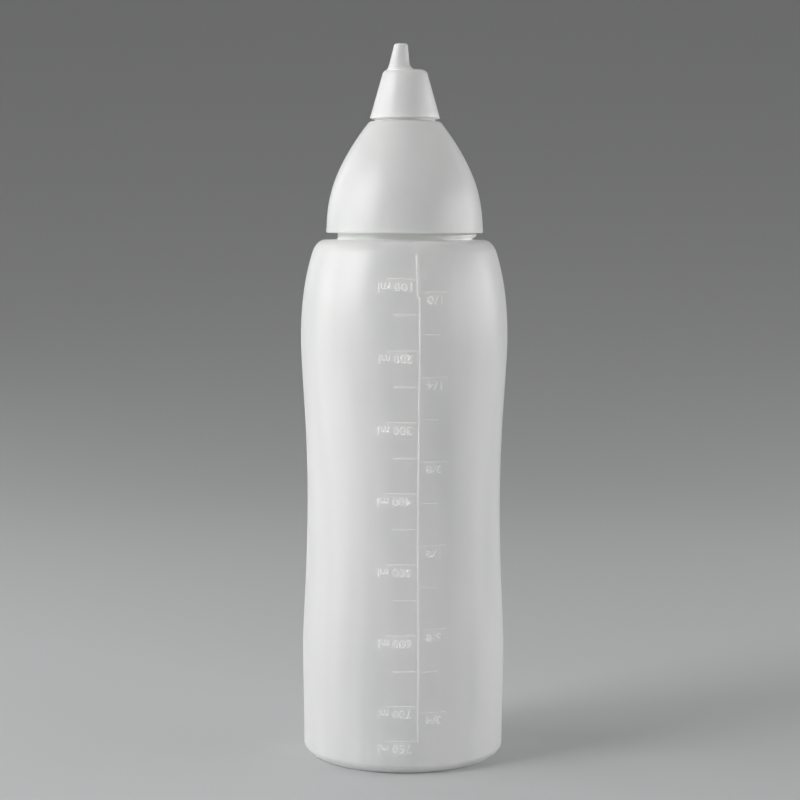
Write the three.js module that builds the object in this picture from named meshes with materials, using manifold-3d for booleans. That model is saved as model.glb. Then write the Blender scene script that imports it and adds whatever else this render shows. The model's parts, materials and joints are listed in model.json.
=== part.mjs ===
// A squeeze bottle for sauce, with a screw-on dome lid, a no-drip silicone spout and a hinged flip cap.
//
// Millimetres, +Z up, origin on the bottle's axis at the surface that it stands on. The graduated side
// of the bottle faces -Y. The lid and all that it carries are drawn in the lid's own frame, with z = 0 at
// the lid's rim, the flip cap's thumb tab towards -Y and its hinge towards +Y. They are then turned to
// where the lid stops when it is tight.

import * as THREE from "three";
import { mergeVertices } from "three/addons/utils/BufferGeometryUtils.js";
import Module from "manifold-3d";

const wasm = await Module();
wasm.setup();

// Bottle body: radii of the outside, and the heights where they lie
const standRadius = 33.2;
const standWidth = 4.2;
const footRadius = 36.4;
const footHeight = 4.6;
const hipRadius = 36.87;
const hipHeight = 42;
const waistRadius = 35.15;
const waistHeight = 93;
const bulgeRadius = 37.5;
const bulgeHeight = 153.5;
const shoulderRadius = 33.3;
const shoulderRoundHeight = 4.4;
const shoulderFlatRadius = 28.6;
const shoulderHeight = 188.3;
const basePushUp = 4.5;
const bottleWall = 1.1;
const baseWall = 1.5;

// Bottle neck, which is plain here and carries the lid's thread
const neckRadius = 24.2;
const neckWall = 1.6;
const neckHeight = 15.7;
const neckFillet = 0.9;
const lipRound = 0.4;

// Lid: a dome over a skirt
const rimGap = 2.5;
const rimRadius = 28.4;
const rimRound = 0.5;
const lidHeight = 40;
const lidWall = 1.7;
const domeTopRadius = 13.5;
const domeTopRound = 0.9;
const domeFlatRadius = 12.1;
const skirtBore = 26.15;
const skirtBoreHeight = 11.6;
const pilotBore = 25.5;
const ledgeRadius = 22.9;
const topPlate = 2;
const lidTurnDegrees = -40;

// Spigot on the lid's top, and the boss under it that holds the spout's flange
const spigotRadius = 8.6;
const spigotBore = 6.6;
const spigotHeight = 5.2;
const spigotChamfer = 0.4;
const beadDepth = 0.6;
const beadHeight = 0.9;
const bossRadius = 9.4;
const bossBore = 8;
const bossHeight = 4;
const bossLip = 0.5;

// Loose pieces of the lid
const gasketThickness = 1.4;
const gasketRadius = 25.2;
const gasketBore = 22.9;
const flangeThickness = 0.9;
const retainerThickness = 2;
const retainerBore = 5.6;
const spoutRadius = 6.3;
const spoutWall = 1.3;
const spoutTipRadius = 2.4;
const spoutTipWall = 1;
const spoutConeHeight = 8;
const spoutDomeHeight = 1.6;
const slitLength = 3;
const slitWidth = 0.3;

// Flip cap and its hinge
const capGap = 0.8;
const capRadius = 12.55;
const capHeight = 17.7;
const capTopRadius = 6.6;
const capShoulderRadius = 8.05;
const capShoulderDrop = 1.2;
const capRimRound = 0.4;
const capWall = 1.1;
const tabHeight = 9.2;
const tabFrontReach = 4.7;
const tabBackReach = 0.1;
const tabBackLean = 0.4;
const tabRound = 0.8;
const tabFillet = 3;
const padRadius = 2.6;
const ringRadius = 10.45;
const ringHeight = 3.3;
const hingeReach = 13.6;
const hingeRise = 1.3;
const hingeWidth = 6;
const webRadius = 0.4;
const ringLugThickness = 1.2;
const ringLugRise = 0.3;
const capLugThickness = 1.5;
const capLugOverhang = 0.3;

// Clearances
const seatGap = 0.1;
const fitGap = 0.3;
const cutOverrun = 1;

// How the outlines bend, as shares of the stretch that each curve spans
const footToHipShares = [0.3, 0.3];
const hipToWaistShares = [0.08, 0.41];
const waistToBulgeShares = [0.5, 0.23];
const bulgeToShoulderShares = [0.39, 0.28];
const shoulderLeanShare = 0.32;
const cornerShares = [0.6, 0.52];
const shoulderRoundShares = [0.5, 0.5];
const roundShares = [0.55, 0.55];
const pushUpShares = [0.45, 0.5];
const domeLowShares = [0.045, 0.215];
const domeHighShares = [-0.01, 0.486];

const bodySegments = 48;
const smallSegments = 32;

// What follows from those sizes
const lipHeight = shoulderHeight + neckHeight;
const rimHeight = shoulderHeight + rimGap;
const ledgeHeight = lipHeight - rimHeight + 2 * seatGap + gasketThickness;
const plateHeight = lidHeight - topPlate;
const flangeRadius = bossBore - fitGap;
const flangeTop = plateHeight - seatGap;
const flangeBottom = flangeTop - flangeThickness;
const spigotTop = lidHeight + spigotHeight;
const coneBottom = spigotTop + fitGap;
const spoutTop = coneBottom + spoutConeHeight + spoutDomeHeight;
const ringBottom = lidHeight + seatGap;
const ringTop = ringBottom + ringHeight;
const capBottom = lidHeight + capGap;
const capTop = capBottom + capHeight;
const capCeiling = capTop - capWall;
const capSlope = (capRadius - capShoulderRadius) / (capHeight - capRimRound - capShoulderDrop);
const hingeHeight = lidHeight + hingeRise;

const point = (radius, height) => new THREE.Vector2(radius, height);

// A curve of the side of a revolved body. It leaves upright, and arrives upright or leaning inwards.
function sideCurve([fromRadius, fromHeight], [toRadius, toHeight], shares, leanShare = 0) {
  const span = toHeight - fromHeight;
  const arrive = span * shares[1];
  return new THREE.CubicBezierCurve(
    point(fromRadius, fromHeight),
    point(fromRadius, fromHeight + span * shares[0]),
    point(toRadius + arrive * leanShare, toHeight - arrive),
    point(toRadius, toHeight),
  );
}

// A quarter turn between two points that starts flat and ends upright, or the other way round.
function cornerCurve(from, to, shares, startsFlat) {
  const [dr, dz] = [to.x - from.x, to.y - from.y];
  const leave = startsFlat ? point(from.x + dr * shares[0], from.y) : point(from.x, from.y + dz * shares[0]);
  const arrive = startsFlat ? point(to.x, to.y - dz * shares[1]) : point(to.x - dr * shares[1], to.y);
  return new THREE.CubicBezierCurve(from, leave, arrive, to);
}

// Points along curves in a row, with each meeting point kept once.
function trace(...stretches) {
  const points = [];
  for (const [curve, steps] of stretches) {
    points.push(...curve.getPoints(steps).slice(points.length ? 1 : 0));
  }
  return points;
}

// Turns a closed outline of radius and height about the Z axis.
function revolve(outline, segments) {
  const first = outline[0];
  const last = outline[outline.length - 1];
  const onAxis = first.x === 0 && last.x === 0;
  const closed = onAxis ? outline : [...outline, first.clone()];
  return new THREE.LatheGeometry(closed, segments).rotateX(Math.PI / 2);
}

function toSolid(geometry) {
  const bare = geometry.clone();
  bare.deleteAttribute("normal");
  bare.deleteAttribute("uv");
  const merged = mergeVertices(bare);
  return new wasm.Manifold(
    new wasm.Mesh({
      numProp: 3,
      vertProperties: merged.attributes.position.array,
      triVerts: new Uint32Array(merged.index.array),
    }),
  );
}

function toGeometry(solid) {
  const mesh = solid.getMesh();
  return new THREE.BufferGeometry()
    .setAttribute("position", new THREE.BufferAttribute(mesh.vertProperties, 3))
    .setIndex(new THREE.BufferAttribute(mesh.triVerts, 1));
}

// A block between two corners.
function block([x0, y0, z0], [x1, y1, z1]) {
  return new THREE.BoxGeometry(x1 - x0, y1 - y0, z1 - z0).translate(
    (x0 + x1) / 2,
    (y0 + y1) / 2,
    (z0 + z1) / 2,
  );
}

// A body through level circles { height, centre, radius } with centres on the Y axis, closed at both ends.
function loft(circles, segments) {
  const positions = [];
  const index = [];
  for (const { height, centre, radius } of circles) {
    for (let i = 0; i < segments; i++) {
      const angle = (2 * Math.PI * i) / segments;
      positions.push(radius * Math.sin(angle), centre - radius * Math.cos(angle), height);
    }
  }
  for (let level = 0; level + 1 < circles.length; level++) {
    for (let i = 0; i < segments; i++) {
      const next = (i + 1) % segments;
      const [a, b] = [level * segments + i, level * segments + next];
      index.push(a, b, b + segments, a, b + segments, a + segments);
    }
  }
  const lowest = circles[0];
  const highest = circles[circles.length - 1];
  const foot = positions.push(0, lowest.centre, lowest.height) / 3 - 1;
  const crown = positions.push(0, highest.centre, highest.height) / 3 - 1;
  const top = (circles.length - 1) * segments;
  for (let i = 0; i < segments; i++) {
    const next = (i + 1) % segments;
    index.push(foot, next, i, crown, top + i, top + next);
  }
  return new THREE.BufferGeometry()
    .setAttribute("position", new THREE.BufferAttribute(new Float32Array(positions), 3))
    .setIndex(index);
}

// The bottle's side from where it leaves the stand ring up to the shoulder's flat, moved inwards by a wall.
function bottleSide(wall, floor, steps) {
  const stand = point(standRadius - wall, floor);
  const foot = [footRadius - wall, footHeight];
  const hip = [hipRadius - wall, hipHeight];
  const waist = [waistRadius - wall, waistHeight];
  const bulge = [bulgeRadius - wall, bulgeHeight];
  const edge = [shoulderRadius - wall, shoulderHeight - shoulderRoundHeight];
  const flat = point(shoulderFlatRadius - wall, shoulderHeight - wall);
  const leave = shoulderRoundHeight * shoulderRoundShares[0];
  const round = new THREE.CubicBezierCurve(
    point(...edge),
    point(edge[0] - shoulderLeanShare * leave, edge[1] + leave),
    point(flat.x + (edge[0] - flat.x) * shoulderRoundShares[1], flat.y),
    flat,
  );
  return trace(
    [cornerCurve(stand, point(...foot), cornerShares, true), steps.corner],
    [sideCurve(foot, hip, footToHipShares), steps.foot],
    [sideCurve(hip, waist, hipToWaistShares), steps.side],
    [sideCurve(waist, bulge, waistToBulgeShares), steps.side],
    [sideCurve(bulge, edge, bulgeToShoulderShares, shoulderLeanShare), steps.side],
    [round, steps.corner],
  );
}

// Blow-moulded in one piece: pushed-up base on a stand ring, waisted side, flat shoulder and neck.
function bottle() {
  const neckBore = neckRadius - neckWall;
  const standInside = standRadius - standWidth;
  const pushUp = cornerCurve(point(0, basePushUp), point(standInside, 0), pushUpShares, true);
  const insideEdge = point(standInside, baseWall);
  const insideFloor = cornerCurve(insideEdge, point(0, basePushUp + baseWall), pushUpShares, false);
  return revolve(
    [
      ...pushUp.getPoints(4),
      ...bottleSide(0, 0, { corner: 5, foot: 2, side: 6 }),
      point(neckRadius + neckFillet, shoulderHeight),
      point(neckRadius, shoulderHeight + neckFillet),
      point(neckRadius, lipHeight - lipRound),
      point(neckRadius - lipRound, lipHeight),
      point(neckBore + lipRound, lipHeight),
      point(neckBore, lipHeight - lipRound),
      point(neckBore, shoulderHeight),
      point(neckBore + bottleWall, shoulderHeight - bottleWall),
      ...bottleSide(bottleWall, baseWall, { corner: 3, foot: 1, side: 5 }).reverse(),
      ...insideFloor.getPoints(4),
    ],
    bodySegments,
  );
}

// The dome's outside from the rim's round to the round at its top.
function domeCurve() {
  const height = lidHeight - domeTopRound - rimRound;
  const narrowing = rimRadius - domeTopRadius;
  return new THREE.CubicBezierCurve(
    point(rimRadius, rimRound),
    point(rimRadius - narrowing * domeLowShares[0], rimRound + height * domeLowShares[1]),
    point(rimRadius - narrowing * domeHighShares[0], rimRound + height * domeHighShares[1]),
    point(domeTopRadius, lidHeight - domeTopRound),
  );
}

// The dome's inside: its outside moved in by the wall, between the ledge and the top plate.
function domeInside(steps) {
  const curve = domeCurve();
  const points = [];
  for (let i = 0; i <= steps; i++) {
    const at = curve.getPoint(i / steps);
    const along = curve.getTangent(i / steps);
    const inner = point(at.x - along.y * lidWall, at.y + along.x * lidWall);
    if (inner.x < ledgeRadius && inner.y < plateHeight) points.push(inner);
  }
  return points;
}

// Dome, skirt, spigot and boss in one moulding. The outline starts at the rim and goes up the outside.
function lid() {
  const inside = domeInside(16);
  const first = inside[0];
  const beadTop = spigotTop - spigotChamfer;
  return revolve(
    [
      point(rimRadius - rimRound, 0),
      ...domeCurve().getPoints(14),
      point(domeFlatRadius, lidHeight),
      point(spigotRadius, lidHeight),
      point(spigotRadius, beadTop - beadHeight),
      point(spigotRadius + beadDepth, beadTop - beadHeight / 2),
      point(spigotRadius, beadTop),
      point(spigotRadius - spigotChamfer, spigotTop),
      point(spigotBore, spigotTop),
      point(spigotBore, plateHeight),
      point(bossBore, plateHeight),
      point(bossBore, plateHeight - bossHeight + bossLip),
      point(bossBore - bossLip, plateHeight - bossHeight),
      point(bossRadius, plateHeight - bossHeight),
      point(bossRadius, plateHeight),
      ...inside.reverse(),
      point(ledgeRadius, first.y),
      point(ledgeRadius, ledgeHeight),
      point(pilotBore, ledgeHeight),
      point(pilotBore, skirtBoreHeight + skirtBore - pilotBore),
      point(skirtBore, skirtBoreHeight),
      point(skirtBore, rimRound),
      point(skirtBore + rimRound, 0),
    ],
    bodySegments,
  );
}

// A plain ring of rectangular section.
function ring(bore, radius, bottom, top, segments) {
  return revolve(
    [point(bore, bottom), point(radius, bottom), point(radius, top), point(bore, top)],
    segments,
  );
}

function gasket() {
  const top = ledgeHeight - seatGap;
  return ring(gasketBore, gasketRadius, top - gasketThickness, top, bodySegments);
}

// Snaps into the boss under the spout's flange.
function retainer() {
  const top = flangeBottom - seatGap;
  return ring(retainerBore, flangeRadius, top - retainerThickness, top, smallSegments);
}

// Silicone spout: a flange, a stem through the spigot and a cone whose closed end has a cross slit.
function spout() {
  const coneTop = coneBottom + spoutConeHeight;
  const stemBore = spoutRadius - spoutWall;
  const dome = cornerCurve(point(spoutTipRadius, coneTop), point(0, spoutTop), roundShares, false);
  const domeInner = cornerCurve(
    point(0, spoutTop - spoutTipWall),
    point(spoutTipRadius - spoutTipWall, coneTop - spoutTipWall),
    roundShares,
    true,
  );
  const body = revolve(
    [
      point(stemBore, flangeBottom),
      point(flangeRadius, flangeBottom),
      point(flangeRadius, flangeTop),
      point(spoutRadius, flangeTop),
      point(spoutRadius, coneBottom),
      ...dome.getPoints(4),
      ...domeInner.getPoints(3),
      point(stemBore, coneBottom - spoutWall),
    ],
    smallSegments,
  );
  const slitBottom = coneTop - spoutTipWall - cutOverrun;
  const slitTop = spoutTop + cutOverrun;
  const slit = (halfX, halfY) => toSolid(block([-halfX, -halfY, slitBottom], [halfX, halfY, slitTop]));
  const across = slit(slitLength / 2, slitWidth / 2);
  const along = slit(slitWidth / 2, slitLength / 2);
  return toGeometry(toSolid(body).subtract(across).subtract(along));
}

// Ring that snaps over the spigot's bead, with a lug that reaches out under the cap to the hinge.
function capRing() {
  const body = ring(spigotRadius + fitGap, ringRadius, ringBottom, ringTop, smallSegments);
  const lugBottom = lidHeight + ringLugRise;
  const lugInside = (spigotRadius + fitGap + ringRadius) / 2;
  const lug = block(
    [-hingeWidth / 2, lugInside, lugBottom],
    [hingeWidth / 2, hingeReach - webRadius - fitGap, lugBottom + ringLugThickness],
  );
  return toGeometry(toSolid(body).add(toSolid(lug)));
}

// The thin strip that bends between the ring's lug and the cap's lug, drawn as a bead along the hinge's axis.
function hingeWeb() {
  return new THREE.CylinderGeometry(webRadius, webRadius, hingeWidth, 12)
    .rotateZ(Math.PI / 2)
    .translate(0, hingeReach, hingeHeight);
}

// The thumb tab: level circles that follow the cap's own slope in front, with a fillet behind.
function thumbTab() {
  const circles = [];
  const circle = (rise, inset) => {
    const down = tabHeight - rise;
    const spread = tabFillet - rise;
    const flare = spread > 0 ? tabFillet - Math.sqrt(tabFillet ** 2 - spread ** 2) : 0;
    const front = tabFrontReach + down * capSlope - inset;
    const back = tabBackReach + (down / tabHeight) * tabBackLean + flare - inset;
    circles.push({ height: capTop + rise, centre: (back - front) / 2, radius: (front + back) / 2 });
  };
  const filletSteps = 5;
  const roundSteps = 3;
  for (let i = 0; i <= filletSteps; i++) {
    circle((tabFillet * i) / filletSteps, 0);
  }
  for (let i = 0; i <= roundSteps; i++) {
    const angle = ((Math.PI / 2) * i) / roundSteps;
    circle(tabHeight - tabRound * (1 - Math.sin(angle)), tabRound * (1 - Math.cos(angle)));
  }
  const sunk = { ...circles[0], height: capTop - capWall / 2 };
  return loft([sunk, ...circles], smallSegments);
}

// Flip cap: a tapered cup over the spout, with a thumb tab, a sealing pad and a hinge lug.
function flipCap() {
  const shoulder = cornerCurve(
    point(capShoulderRadius, capTop - capShoulderDrop),
    point(capTopRadius, capTop),
    roundShares,
    false,
  );
  const outside = revolve(
    [
      point(0, capBottom),
      point(capRadius - capRimRound, capBottom),
      point(capRadius, capBottom + capRimRound),
      ...shoulder.getPoints(3),
      point(0, capTop),
    ],
    smallSegments,
  );
  const boreAt = (height) => capRadius - capWall - (height - capBottom - capRimRound) * capSlope;
  const inside = revolve(
    [
      point(0, capBottom - cutOverrun),
      point(boreAt(capBottom), capBottom - cutOverrun),
      point(boreAt(capBottom), capBottom),
      point(boreAt(capCeiling - capWall), capCeiling - capWall),
      point(boreAt(capCeiling) - capWall, capCeiling),
      point(0, capCeiling),
    ],
    smallSegments,
  );
  const pad = revolve(
    [
      point(0, spoutTop + fitGap),
      point(padRadius, spoutTop + fitGap),
      point(padRadius, capCeiling + capWall / 2),
      point(0, capCeiling + capWall / 2),
    ],
    smallSegments,
  );
  const lugBottom = hingeHeight + webRadius + fitGap;
  const lug = block(
    [-hingeWidth / 2, capRadius - capWall, lugBottom],
    [hingeWidth / 2, hingeReach + capLugOverhang, lugBottom + capLugThickness],
  );
  const ringLugTop = lidHeight + ringLugRise + ringLugThickness;
  const notch = block(
    [-hingeWidth / 2 - fitGap, 0, capBottom - cutOverrun],
    [hingeWidth / 2 + fitGap, capRadius + cutOverrun, ringLugTop + fitGap],
  );
  return toGeometry(
    toSolid(outside)
      .add(toSolid(thumbTab()))
      .subtract(toSolid(inside))
      .add(toSolid(pad))
      .subtract(toSolid(notch))
      .add(toSolid(lug)),
  );
}

function natural(colour, roughness) {
  return new THREE.MeshStandardMaterial({ color: colour, roughness, metalness: 0 });
}

function piece(name, geometry, material) {
  const mesh = new THREE.Mesh(geometry, material);
  mesh.name = name;
  return mesh;
}

const squeezable = natural(0xdcdcda, 0.42);
const moulded = natural(0xe4e4e2, 0.38);
const silicone = natural(0xe9eae8, 0.5);

const lidAssembly = new THREE.Group();
lidAssembly.add(
  piece("dome_lid", lid(), moulded),
  piece("lid_gasket", gasket(), silicone),
  piece("spout_valve", spout(), silicone),
  piece("valve_retainer", retainer(), moulded),
  piece("cap_ring", capRing(), moulded),
  piece("living_hinge", hingeWeb(), moulded),
  piece("flip_cap", flipCap(), moulded),
);
lidAssembly.position.z = rimHeight;
lidAssembly.rotation.z = THREE.MathUtils.degToRad(lidTurnDegrees);

const sauceBottle = new THREE.Group();
sauceBottle.add(piece("bottle", bottle(), squeezable), lidAssembly);

export default sauceBottle;
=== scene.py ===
# %% [markdown]
# # A sauce squeeze bottle with a screw-on dome lid and a flip cap
#
# This lesson dresses a small household object: a milky squeeze bottle, the dome lid that screws onto it,
# and a cap that flips open over a silicone spout. Nearly every piece is round, so most of the work is
# choosing a good outline and turning it about the bottle's axis. Two things make such a plain object look
# real, its outline and the way that light soaks into its wall, and both get most of the care here.

# %% Load the frame
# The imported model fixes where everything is. Its nodes come in as objects at the origin, in metres.
import json
from math import atan2, cos, degrees, hypot, pi, radians, sin

import bmesh
import bpy
from mathutils import Matrix, Vector
from mathutils.geometry import interpolate_bezier


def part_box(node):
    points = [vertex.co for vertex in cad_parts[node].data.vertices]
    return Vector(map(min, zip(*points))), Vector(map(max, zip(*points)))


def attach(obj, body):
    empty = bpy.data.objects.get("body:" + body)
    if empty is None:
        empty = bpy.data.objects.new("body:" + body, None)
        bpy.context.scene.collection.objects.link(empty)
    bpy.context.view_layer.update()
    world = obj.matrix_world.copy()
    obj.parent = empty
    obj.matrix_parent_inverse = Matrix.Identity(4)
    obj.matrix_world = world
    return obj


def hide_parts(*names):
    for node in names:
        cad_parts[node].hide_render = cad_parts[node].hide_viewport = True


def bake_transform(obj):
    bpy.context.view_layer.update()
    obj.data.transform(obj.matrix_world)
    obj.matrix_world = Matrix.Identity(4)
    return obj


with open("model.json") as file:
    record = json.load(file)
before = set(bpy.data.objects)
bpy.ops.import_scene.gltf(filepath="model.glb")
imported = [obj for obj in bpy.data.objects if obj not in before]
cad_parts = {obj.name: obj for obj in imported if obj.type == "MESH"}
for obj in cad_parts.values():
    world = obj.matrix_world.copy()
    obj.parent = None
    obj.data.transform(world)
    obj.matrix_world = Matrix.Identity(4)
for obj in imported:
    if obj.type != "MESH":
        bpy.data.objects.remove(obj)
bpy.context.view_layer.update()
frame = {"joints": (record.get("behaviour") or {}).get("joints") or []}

# %% [markdown]
# ## Where things are
#
# Sizes are in millimetres, because that is how such a bottle is drawn. Heights that the frame already knows
# are read from it, so that a piece made here sits where its solid sits. The lid and what it carries are
# drawn with the lid's rim at height 0 and the cap's thumb tab towards -Y, and are put in place at the end.
# The lid stops at some angle when it is tight, and the hinge's place says which.

# %% Heights and the hinge, from the frame
MM = 0.001


def heights_of(node, above=0.0):
    """The lowest and highest point of a node in millimetres, above a height."""
    low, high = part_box(node)
    return low.z / MM - above, high.z / MM - above


LIP = heights_of("bottle")[1]
RIM = heights_of("dome_lid")[0]
SPIGOT_TOP = heights_of("dome_lid", RIM)[1]
GASKET_LOW, GASKET_HIGH = heights_of("lid_gasket", RIM)
RETAINER_LOW, RETAINER_HIGH = heights_of("valve_retainer", RIM)
SPOUT_LOW, SPOUT_HIGH = heights_of("spout_valve", RIM)
RING_LOW, RING_HIGH = heights_of("cap_ring", RIM)
CAP_LOW, TIP = heights_of("flip_cap", RIM)

flip = next(joint for joint in frame["joints"] if joint["name"] == "cap_flip")
HINGE_AT = Vector(flip["pos_m"])
HINGE_REACH = hypot(HINGE_AT.x, HINGE_AT.y) / MM
HINGE_HEIGHT = HINGE_AT.z / MM - RIM
LID_TURN = atan2(HINGE_AT.y, HINGE_AT.x) - pi / 2
print("lid turned by", round(degrees(LID_TURN)), "degrees, hinge", round(HINGE_REACH, 2), "mm out")

# %% [markdown]
# ## The camera first
#
# The photograph was taken with a long lens from a little above the middle of the bottle. The base, the
# shoulder and the lid's rim are circles, and how open each one looks gives the camera's height, distance
# and tilt. Setting the camera before modelling lets every outline be judged in the same view.

# %% Camera
CAMERA_LENS = 95.56
CAMERA_DISTANCE = 771.9
CAMERA_HEIGHT = 197.0
CAMERA_LEFT = 1.67
CAMERA_TILT = radians(4.962)
CAMERA_ROLL = radians(-0.18)

camera = bpy.data.objects.new("camera", bpy.data.cameras.new("camera"))
camera.data.lens = CAMERA_LENS
camera.location = Vector((-CAMERA_LEFT, -CAMERA_DISTANCE, CAMERA_HEIGHT)) * MM
camera.rotation_euler = (pi / 2 - CAMERA_TILT, CAMERA_ROLL, 0)
bpy.context.scene.collection.objects.link(camera)
bpy.context.scene.camera = camera

# %% [markdown]
# ## Tools of the lesson
#
# A turned piece starts as an outline of radius and height, drawn with a few curves. `bend` draws one curve,
# `turn` spins the whole outline about the axis. An outline that closes on itself gives a wall with an
# inside, so that every piece is a true solid, as thick as the moulding and open where it is open.

# %% Curves
ROUND = 0.55  # with handles this long, a curve between two square directions is a quarter circle
ROUND_STEPS = 5
HAIR = 0.001  # millimetres: points of an outline that are nearer than this are one point


def bend(start, leave, arrive, end, steps):
    """Points of (radius, height) along one curve, with its two handles given."""
    knots = [Vector((radius, height)) for radius, height in (start, leave, arrive, end)]
    return [tuple(knot) for knot in interpolate_bezier(*knots, steps + 1)]


def corner(start, end, level_first, steps=ROUND_STEPS, reach=(ROUND, ROUND)):
    """A rounded corner that leaves level and arrives upright, or the other way round."""
    knee = (end[0], start[1]) if level_first else (start[0], end[1])
    leave = [s + (k - s) * reach[0] for s, k in zip(start, knee)]
    arrive = [e + (k - e) * reach[1] for e, k in zip(end, knee)]
    return bend(start, leave, arrive, end, steps)


def run(*stretches):
    """One outline from stretches in a row, without the points that repeat."""
    outline = []
    for point in (point for stretch in stretches for point in stretch):
        if not outline or hypot(point[0] - outline[-1][0], point[1] - outline[-1][1]) > HAIR:
            outline.append(point)
    return outline


def closed(outline):
    return outline + outline[:1]


def inset(outline, distance):
    """An outline moved sideways, square to itself, to the left of the way that it runs."""
    moved = []
    for before, (radius, height), after in zip(outline, outline[1:], outline[2:]):
        along = Vector((after[0] - before[0], after[1] - before[1])).normalized()
        moved.append((radius - along.y * distance, height + along.x * distance))
    return moved


def ring_outline(bore, radius, low, high, edge):
    """The outline of a flat ring with its four edges rounded."""
    rounded = run(
        corner((bore, low + edge), (bore + edge, low), False),
        corner((radius - edge, low), (radius, low + edge), True),
        corner((radius, high - edge), (radius - edge, high), False),
        corner((bore + edge, high), (bore, high - edge), True),
    )
    return closed(rounded)


# %% Turned shapes
SEGMENTS = 128
MERGE = 1e-7


def turn(*outlines):
    """Spins outlines about Z. Each ends on the axis, or meets an end of itself or of another."""
    bm = bmesh.new()
    for outline in outlines:
        verts = [bm.verts.new((radius * MM, 0, height * MM)) for radius, height in outline]
        for pair in zip(verts, verts[1:]):
            bm.edges.new(pair)
    geom = bm.verts[:] + bm.edges[:]
    bmesh.ops.spin(
        bm, geom=geom, cent=(0, 0, 0), axis=(0, 0, 1), angle=2 * pi, steps=SEGMENTS, use_merge=True
    )
    bmesh.ops.remove_doubles(bm, verts=bm.verts[:], dist=MERGE)
    bmesh.ops.recalc_face_normals(bm, faces=bm.faces[:])
    return bm


def place(bm, matrix):
    bmesh.ops.transform(bm, matrix=matrix, verts=bm.verts[:])
    return bm


ON_LID = Matrix.Translation((0, 0, RIM * MM)) @ Matrix.Rotation(LID_TURN, 4, "Z")

# %% From a shape to an object, and back
SHARP = radians(33)


def shade_smooth(bm):
    """Shades the shape smooth, apart from its sharp edges."""
    for face in bm.faces:
        face.smooth = True
    for edge in bm.edges:
        edge.smooth = edge.calc_face_angle(0) < SHARP


def to_object(name, bm):
    """Makes an object of a shape, which is freed."""
    shade_smooth(bm)
    mesh = bpy.data.meshes.new(name)
    bm.to_mesh(mesh)
    bm.free()
    obj = bpy.data.objects.new(name, mesh)
    bpy.context.scene.collection.objects.link(obj)
    return obj


def to_shape(obj, merge=MERGE):
    """The shape of an object, with its modifiers, bevel or letters. The object is deleted."""
    seen = obj.evaluated_get(bpy.context.evaluated_depsgraph_get())
    mesh = bpy.data.meshes.new_from_object(seen)
    bm = bmesh.new()
    bm.from_mesh(mesh)
    bpy.data.meshes.remove(mesh)
    bpy.data.objects.remove(obj)
    bmesh.ops.remove_doubles(bm, verts=bm.verts[:], dist=merge)
    return bm


def add_shape(bm, other):
    """Adds the shape other, which is freed, beside what bm holds."""
    mesh = bpy.data.meshes.new("part")
    other.to_mesh(mesh)
    other.free()
    bm.from_mesh(mesh)
    bpy.data.meshes.remove(mesh)


def combine(bm, other, operation, crossing=False):
    """Joins the shape other to bm, or cuts it out, and gives the result. Both are freed.

    Where one of them crosses itself, crossing has that sorted out too, which takes much longer.
    """
    whole, tool = to_object("whole", bm), to_object("tool", other)
    modifier = whole.modifiers.new(operation, "BOOLEAN")
    modifier.operation = operation
    modifier.solver = "EXACT"
    modifier.use_self = crossing
    modifier.object = tool
    result = to_shape(whole)
    bpy.data.objects.remove(tool)
    return result


def block(low, high, edge):
    """A block between two corners in millimetres, with its edges rounded."""
    size = [h - l for l, h in zip(low, high)]
    middle = [(h + l) / 2 for l, h in zip(low, high)]
    bm = bmesh.new()
    bmesh.ops.create_cube(bm, size=1, matrix=Matrix.Translation(middle) @ Matrix.Diagonal((*size, 1)))
    bmesh.ops.bevel(
        bm, geom=bm.edges[:], offset=edge, segments=3, profile=0.5, affect="EDGES", material=-1
    )
    return place(bm, Matrix.Scale(MM, 4))


# %% [markdown]
# ## The finishes
#
# The whole object is natural polyolefin: plastic with no colour added. It isn't clear like glass, because
# its crystals scatter light inside the wall, so it looks milky and its edges are soft. A Principled shader
# with subsurface scattering gives this: light that enters comes out again a millimetre or two further on.
# The Burley method blurs along the surface only, so that the fine figures of the scale stay crisp. A random
# walk through the solid would be closer to nature, but it smears details smaller than its reach.

# %% Node and colour helpers
def linear(hex_colour):
    """A colour written as sRGB hex, as the linear values that a shader takes."""
    channels = [int(hex_colour[start : start + 2], 16) / 255 for start in (1, 3, 5)]
    toe, knee = 12.92, 0.04045
    return [c / toe if c <= knee else ((c + 0.055) / 1.055) ** 2.4 for c in channels] + [1.0]


def add_node(tree, kind, values=None, links=None, **settings):
    """Adds a node with its settings, its socket values and its incoming links."""
    node = tree.nodes.new(kind)
    for name, value in settings.items():
        setattr(node, name, value)
    for socket, value in (values or {}).items():
        node.inputs[socket].default_value = value
    for socket, (source, output) in (links or {}).items():
        tree.links.new(source.outputs[output], node.inputs[socket])
    return node


# %% One recipe for milky plastic
NOISE_LOW, NOISE_HIGH = 0.3, 0.7  # a noise texture seldom leaves this range
TINT_STOPS = (0.35, 0.65)
COLOUR_REACH = (1.0, 0.97, 0.92)  # red light walks a little further in the wall than blue


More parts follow.
